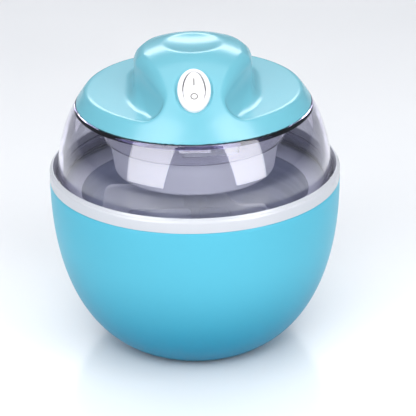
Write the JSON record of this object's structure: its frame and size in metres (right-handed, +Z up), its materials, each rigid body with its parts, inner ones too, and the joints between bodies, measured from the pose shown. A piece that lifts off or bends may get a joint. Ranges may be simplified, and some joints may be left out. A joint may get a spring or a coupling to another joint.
{
  "type": "ice cream maker",
  "caption": "Frozen-bowl ice cream maker: rounded tub, white rim, clear dome, motor head with carrying handle and rocker switch, and a turning paddle.",
  "frame": {"origin": "on the surface it stands on, under the middle of the tub", "axes": "+Z up the machine's axis, -Y towards the switch at the front, +X to the right seen from the front"},
  "size_m": [0.19, 0.19, 0.2055],
  "materials": {
    "blue_tub": "smooth glossy moulded plastic",
    "blue_head": "smooth glossy moulded plastic",
    "white_rim": "smooth glossy moulded plastic",
    "white_liner": "satin moulded plastic",
    "grey_drum": "fine satin moulded plastic",
    "clear_plastic": "clear polished plastic",
    "frosted_plastic": "translucent moulded plastic",
    "bowl_metal": "satin pressed sheet",
    "coolant": "frozen gel",
    "rubber_grey": "matt",
    "steel": "bright zinc plate",
    "dark_steel": "satin",
    "white_switch": "smooth glossy moulded plastic",
    "black_nylon": "satin moulded nylon",
    "brass_blade": "satin",
    "bronze": "oiled sintered bronze",
    "natural_nylon": "satin moulded nylon",
    "copper_wire": "enamelled winding",
    "magnet": "pressed ferrite",
    "wire_red": "extruded insulation"
  },
  "bodies": {
    "base": {"outer_body": "blue_tub", "base_plate": "white_liner", "rubber_feet": "rubber_grey", "base_screws": "steel", "inner_liner": "white_liner", "rim_ring": "white_rim"},
    "bowl": {"bowl_shell": "white_liner", "bowl_cup": "bowl_metal", "coolant_gel": "coolant", "bowl_rim": "white_liner"},
    "lid": {"clear_dome": "clear_plastic", "dome_seal": "rubber_grey"},
    "head": {"head_cover": "blue_head", "lower_housing": "grey_drum", "housing_screws": "steel", "cord_gland": "rubber_grey", "terminal_block": "natural_nylon", "lead_wires": "wire_red", "switch_bezel": "white_switch", "switch_body": "black_nylon", "switch_terminals": "brass_blade", "gear_case": "dark_steel", "gear_plate": "steel", "motor_can": "steel", "coil_bobbin": "natural_nylon", "coil_winding": "copper_wire", "stator_poles": "dark_steel", "rotor_pin": "steel", "idler_pin": "steel", "output_bushing": "bronze", "shaft_seal": "rubber_grey", "motor_screws": "steel"},
    "rocker": {"switch_rocker": "white_switch"},
    "rotor": {"rotor_magnet": "magnet", "rotor_pinion": "natural_nylon"},
    "idler": {"idler_gear": "natural_nylon"},
    "drive": {"output_shaft": "steel", "output_gear": "natural_nylon", "paddle": "frosted_plastic"}
  },
  "joints": [
    {"name": "bowl_lift", "type": "slide", "parent": "base", "child": "bowl", "axis": [0, 0, 1], "range_m": [0, 0.13]},
    {"name": "lid_lift", "type": "slide", "parent": "bowl", "child": "lid", "axis": [0, 0, 1], "range_m": [0, 0.11]},
    {"name": "head_turn", "type": "hinge", "parent": "lid", "child": "head", "pos_m": [0, 0, 0.165], "axis": [0, 0, 1], "range_deg": [0, 20]},
    {"name": "switch_rock", "type": "hinge", "parent": "head", "child": "rocker", "pos_m": [0, -0.04932, 0.18948], "axis": [-1, 0, 0], "range_deg": [0, 12]},
    {"name": "paddle_spin", "type": "hinge", "parent": "head", "child": "drive", "pos_m": [0, 0, 0.13], "axis": [0, 0, 1], "continuous": true},
    {"name": "idler_spin", "type": "hinge", "parent": "head", "child": "idler", "pos_m": [0, 0.0156, 0.133], "axis": [0, 0, 1], "continuous": true},
    {"name": "rotor_spin", "type": "hinge", "parent": "head", "child": "rotor", "pos_m": [0, 0, 0.147], "axis": [0, 0, 1], "continuous": true}
  ],
  "couplings": [
    {"joint": "idler_spin", "follows": "paddle_spin", "ratio": -2.7143},
    {"joint": "rotor_spin", "follows": "paddle_spin", "ratio": 7.3673}
  ]
}
